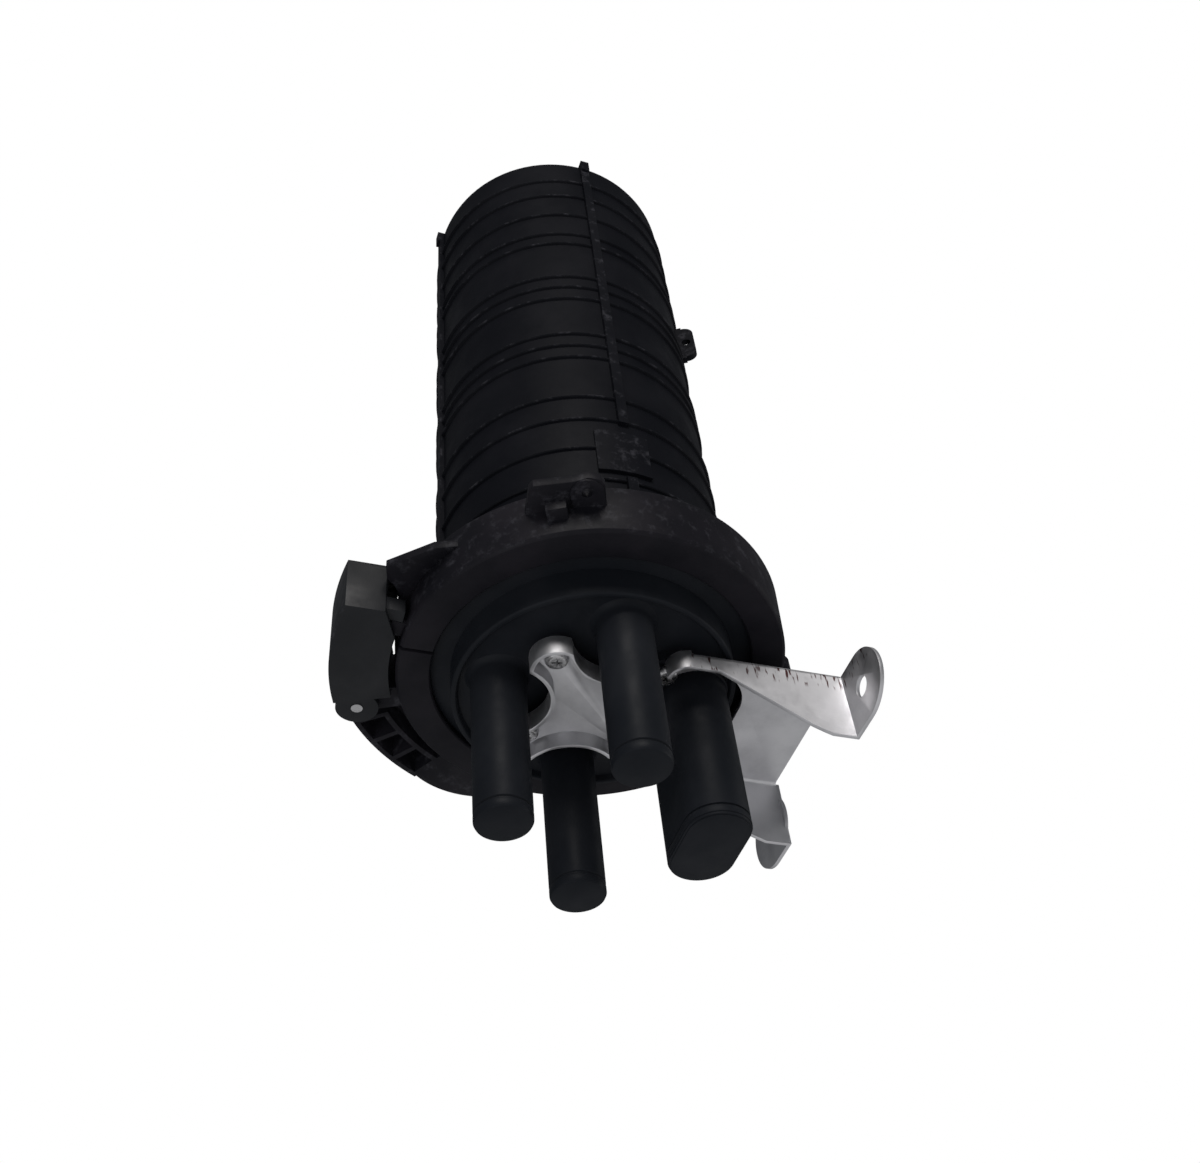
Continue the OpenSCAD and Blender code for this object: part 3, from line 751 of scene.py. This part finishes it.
LAMPS = (
    Lamp("key", (1.5, -0.55, 0.95), 0.9, 22, (1.0, 0.97, 0.94)),
    Lamp("side", (0.3, 1.2, 0.1), 0.8, 3, (1.0, 1.0, 1.0)),
    Lamp("front", (0.6, -1.0, -0.75), 0.9, 3, (0.95, 0.97, 1.0)),
)


@dataclass
class Studio:
    """Pale floor, soft lights and the camera."""

    floor_z: float = -1.2
    floor_side: float = 14.0
    backdrop: float = 1.0
    fill: float = 0.12
    target: Point = (0.0, AXIS_Y, 0.16)
    eye: Point = (0.4936, -0.3065, -0.4428)
    eye_right: Point = (0.2922, 0.9528, -0.0819)
    eye_ahead: Point = (-0.6423, 0.2590, 0.7214)
    lens: float = 41.71

    def floor(self) -> bpy.types.Object:
        """Make the floor and mark it as stage.

        Returns:
            The floor's object.
        """
        Bench.clear()
        bpy.ops.mesh.primitive_plane_add(size=self.floor_side, location=(0, 0, self.floor_z))
        floor = bpy.context.object
        floor.name = "stage_floor"
        Bench.settle(floor)
        Bench.dress(floor, StageFinish("floor_pale").material())
        return floor

    def surround(self) -> None:
        """Set the plain pale surround."""
        world = bpy.data.worlds.new("surround")
        bpy.context.scene.world = world
        world.use_nodes = True
        tree = world.node_tree
        tree.nodes.clear()
        out = tree.nodes.new("ShaderNodeOutputWorld")
        blend = tree.nodes.new("ShaderNodeMixShader")
        path = tree.nodes.new("ShaderNodeLightPath")
        soft = tree.nodes.new("ShaderNodeBackground")
        plain = tree.nodes.new("ShaderNodeBackground")
        soft.inputs["Color"].default_value = (0.93, 0.96, 1.0, 1.0)
        soft.inputs["Strength"].default_value = self.fill
        plain.inputs["Color"].default_value = (1.0, 1.0, 1.0, 1.0)
        plain.inputs["Strength"].default_value = self.backdrop
        tree.links.new(path.outputs["Is Camera Ray"], blend.inputs[0])
        tree.links.new(soft.outputs[0], blend.inputs[1])
        tree.links.new(plain.outputs[0], blend.inputs[2])
        tree.links.new(blend.outputs[0], out.inputs[0])

    def lamp(self, kind: Lamp) -> None:
        """Hang one lamp and aim it at the closure.

        Args:
            kind: the lamp to hang.
        """
        data = bpy.data.lights.new(kind.name, "AREA")
        data.shape = "SQUARE"
        data.size = kind.side
        data.energy = kind.power
        data.color = kind.tint
        lamp = bpy.data.objects.new(kind.name, data)
        bpy.context.scene.collection.objects.link(lamp)
        lamp.location = kind.place
        aim = Vector(self.target) - Vector(kind.place)
        lamp.rotation_mode = "QUATERNION"
        lamp.rotation_quaternion = aim.to_track_quat("-Z", "Y")

    def camera(self) -> None:
        """Place the camera below and in front of the closure, looking up."""
        data = bpy.data.cameras.new("camera")
        data.sensor_width = 36.0
        data.sensor_fit = "HORIZONTAL"
        data.lens = self.lens
        data.clip_start = 0.01
        data.clip_end = 100
        cam = bpy.data.objects.new("camera", data)
        bpy.context.scene.collection.objects.link(cam)
        right = Vector(self.eye_right).normalized()
        ahead = Vector(self.eye_ahead).normalized()
        up = right.cross(ahead).normalized()
        right = ahead.cross(up).normalized()
        turn = Matrix((right, up, -ahead)).transposed()
        cam.matrix_world = Matrix.Translation(self.eye) @ turn.to_4x4()
        bpy.context.scene.camera = cam

    def build(self) -> None:
        """Make the floor, surround, lamps and camera."""
        self.floor()
        self.surround()
        for kind in LAMPS:
            self.lamp(kind)
        self.camera()
        bpy.context.scene.view_settings.view_transform = "Standard"
        LOG.info("stage set")


def main() -> None:
    """Build every sub-assembly around the frame."""
    logging.basicConfig(level=logging.INFO, format="%(name)s: %(message)s")
    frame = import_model()
    nodes = frame["nodes"]
    Shell(nodes).build()
    Interior(nodes).build()
    BracketScrews(PlatedSteel("screw_steel").material()).build()
    Studio().build()


if __name__ == "__main__":
    main()
